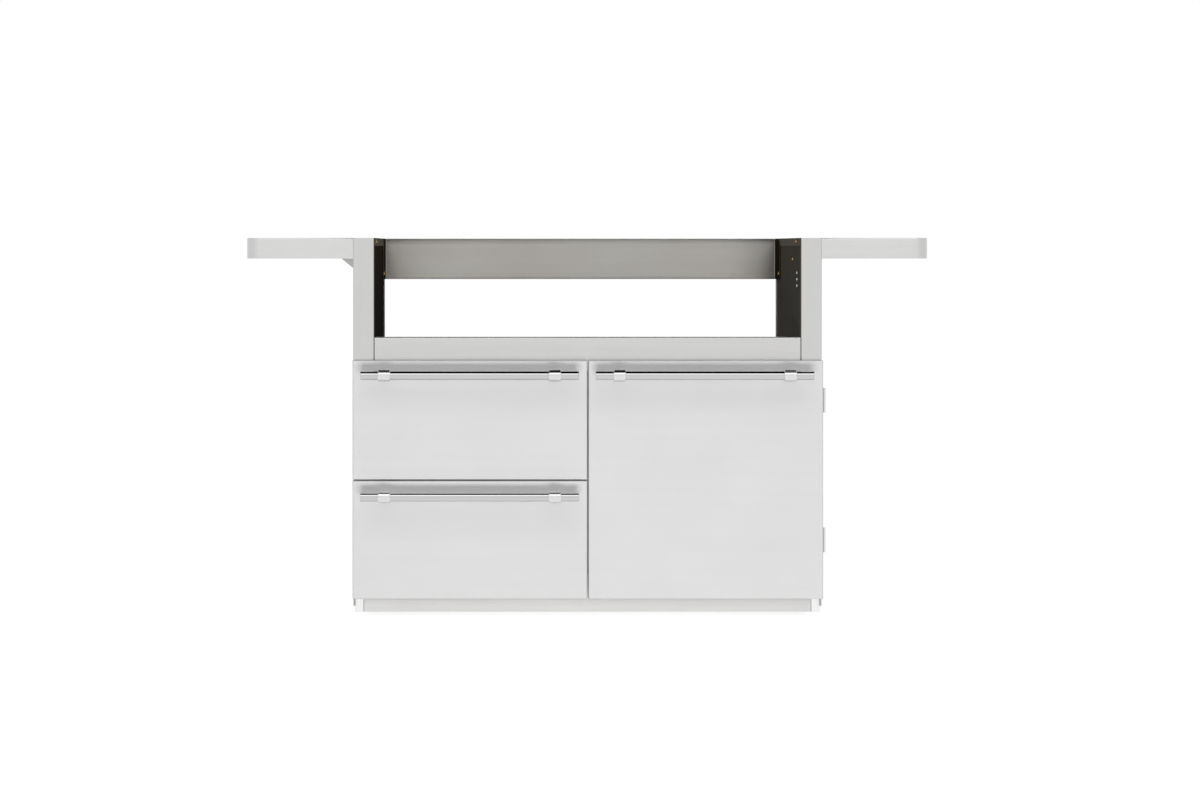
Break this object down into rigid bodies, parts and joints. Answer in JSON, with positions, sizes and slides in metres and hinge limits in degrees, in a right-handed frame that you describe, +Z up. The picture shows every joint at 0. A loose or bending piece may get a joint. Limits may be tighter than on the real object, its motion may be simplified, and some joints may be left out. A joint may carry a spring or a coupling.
{
  "type": "grill cart",
  "caption": "Stainless cart with an open grill bay over two drawers and a hinged door, folded side shelves, bar handles and casters hidden behind a low skirt.",
  "frame": {"origin": "on the floor, at the middle of the cart from side to side and from handles to back", "axes": "+Z up, +X to the right seen from the front, -Y out of the front"},
  "size_m": [1.552, 0.6905, 0.86],
  "materials": {
    "stainless_panel": "brushed stainless sheet, grain along each panel",
    "stainless_front": "fine satin stainless sheet",
    "stainless_inner": "mill-finish stainless sheet",
    "liner_steel": "stainless liner, dark in the shade of the bay",
    "polished_bar": "polished stainless",
    "zinc_steel": "zinc-plated steel",
    "hinge_steel": "satin stainless",
    "brass": "yellow passivated steel and brass",
    "catch_plastic": "black moulded plastic",
    "wheel_rubber": "black rubber tread",
    "pedal_paint": "dark painted pressed steel"
  },
  "bodies": {
    "cart": {"side_panel_left": "stainless_panel", "side_panel_right": "stainless_panel", "side_liner_left": "liner_steel", "side_liner_right": "liner_steel", "front_apron": "stainless_panel", "rear_cross_panel": "stainless_inner", "back_panel": "stainless_inner", "bay_deck": "stainless_inner", "cabinet_floor": "stainless_inner", "centre_divider": "stainless_panel", "base_skirt_left": "stainless_panel", "base_skirt_right": "stainless_panel", "kick_panel": "stainless_panel", "shelf_left": "stainless_panel", "shelf_right": "stainless_panel", "shelf_brackets": "stainless_panel", "shelf_bolts": "zinc_steel", "brass_screws": "brass", "wall_screws": "zinc_steel", "slide_outer_top": "zinc_steel", "slide_outer_bottom": "zinc_steel", "door_catch": "catch_plastic", "hinge_leaves_fixed": "hinge_steel", "hinge_pins": "hinge_steel", "caster_plates": "zinc_steel"},
    "drawer_top": {"drawer_top_front": "stainless_front", "drawer_top_box": "stainless_inner", "drawer_top_bar": "polished_bar", "drawer_top_collars": "polished_bar", "slide_inner_top": "zinc_steel"},
    "slide_mid_top": {"slide_middle_top": "zinc_steel", "slide_balls_top": "brass"},
    "drawer_bottom": {"drawer_bottom_front": "stainless_front", "drawer_bottom_box": "stainless_inner", "drawer_bottom_bar": "polished_bar", "drawer_bottom_collars": "polished_bar", "slide_inner_bottom": "zinc_steel"},
    "slide_mid_bottom": {"slide_middle_bottom": "zinc_steel", "slide_balls_bottom": "brass"},
    "door": {"door_skin": "stainless_front", "door_liner": "stainless_inner", "door_bar": "polished_bar", "door_collars": "polished_bar", "door_strike": "zinc_steel", "hinge_leaves_door": "hinge_steel"},
    "fork_front_left": {"caster_fork_front_left": "zinc_steel", "caster_axle_front_left": "zinc_steel"},
    "wheel_front_left": {"caster_wheel_front_left": "wheel_rubber"},
    "fork_front_right": {"caster_fork_front_right": "zinc_steel", "caster_axle_front_right": "zinc_steel"},
    "wheel_front_right": {"caster_wheel_front_right": "wheel_rubber"},
    "fork_rear_left": {"caster_fork_rear_left": "zinc_steel", "caster_axle_rear_left": "zinc_steel"},
    "wheel_rear_left": {"caster_wheel_rear_left": "wheel_rubber"},
    "fork_rear_right": {"caster_fork_rear_right": "zinc_steel", "caster_axle_rear_right": "zinc_steel"},
    "wheel_rear_right": {"caster_wheel_rear_right": "wheel_rubber"},
    "pedal_left": {"brake_pedal_left": "pedal_paint"},
    "pedal_right": {"brake_pedal_right": "pedal_paint"}
  },
  "joints": [
    {"name": "drawer_top_slide", "type": "slide", "parent": "cart", "child": "drawer_top", "axis": [0, -1, 0], "range_m": [0, 0.48]},
    {"name": "slide_mid_top_travel", "type": "slide", "parent": "cart", "child": "slide_mid_top", "axis": [0, -1, 0], "range_m": [0, 0.24]},
    {"name": "drawer_bottom_slide", "type": "slide", "parent": "cart", "child": "drawer_bottom", "axis": [0, -1, 0], "range_m": [0, 0.48]},
    {"name": "slide_mid_bottom_travel", "type": "slide", "parent": "cart", "child": "slide_mid_bottom", "axis": [0, -1, 0], "range_m": [0, 0.24]},
    {"name": "door_hinge", "type": "hinge", "parent": "cart", "child": "door", "pos_m": [0.536, -0.24725, 0.3335], "axis": [0, 0, 1], "range_deg": [0, 110]},
    {"name": "swivel_front_left", "type": "hinge", "parent": "cart", "child": "fork_front_left", "pos_m": [-0.418, -0.14075, 0.0865], "axis": [0, 0, 1], "continuous": true},
    {"name": "roll_front_left", "type": "hinge", "parent": "fork_front_left", "child": "wheel_front_left", "pos_m": [-0.418, -0.11275, 0.0375], "axis": [1, 0, 0], "continuous": true},
    {"name": "swivel_front_right", "type": "hinge", "parent": "cart", "child": "fork_front_right", "pos_m": [0.418, -0.14075, 0.0865], "axis": [0, 0, 1], "continuous": true},
    {"name": "roll_front_right", "type": "hinge", "parent": "fork_front_right", "child": "wheel_front_right", "pos_m": [0.418, -0.11275, 0.0375], "axis": [1, 0, 0], "continuous": true},
    {"name": "swivel_rear_left", "type": "hinge", "parent": "cart", "child": "fork_rear_left", "pos_m": [-0.418, 0.24725, 0.0865], "axis": [0, 0, 1], "continuous": true},
    {"name": "roll_rear_left", "type": "hinge", "parent": "fork_rear_left", "child": "wheel_rear_left", "pos_m": [-0.418, 0.27525, 0.0375], "axis": [1, 0, 0], "continuous": true},
    {"name": "swivel_rear_right", "type": "hinge", "parent": "cart", "child": "fork_rear_right", "pos_m": [0.418, 0.24725, 0.0865], "axis": [0, 0, 1], "continuous": true},
    {"name": "roll_rear_right", "type": "hinge", "parent": "fork_rear_right", "child": "wheel_rear_right", "pos_m": [0.418, 0.27525, 0.0375], "axis": [1, 0, 0], "continuous": true},
    {"name": "brake_left", "type": "hinge", "parent": "fork_rear_left", "child": "pedal_left", "pos_m": [-0.418, 0.28425, 0.0836], "axis": [-1, 0, 0], "range_deg": [0, 10]},
    {"name": "brake_right", "type": "hinge", "parent": "fork_rear_right", "child": "pedal_right", "pos_m": [0.418, 0.28425, 0.0836], "axis": [-1, 0, 0], "range_deg": [0, 10]}
  ],
  "couplings": [
    {"joint": "slide_mid_top_travel", "follows": "drawer_top_slide", "ratio": 0.5},
    {"joint": "slide_mid_bottom_travel", "follows": "drawer_bottom_slide", "ratio": 0.5}
  ]
}
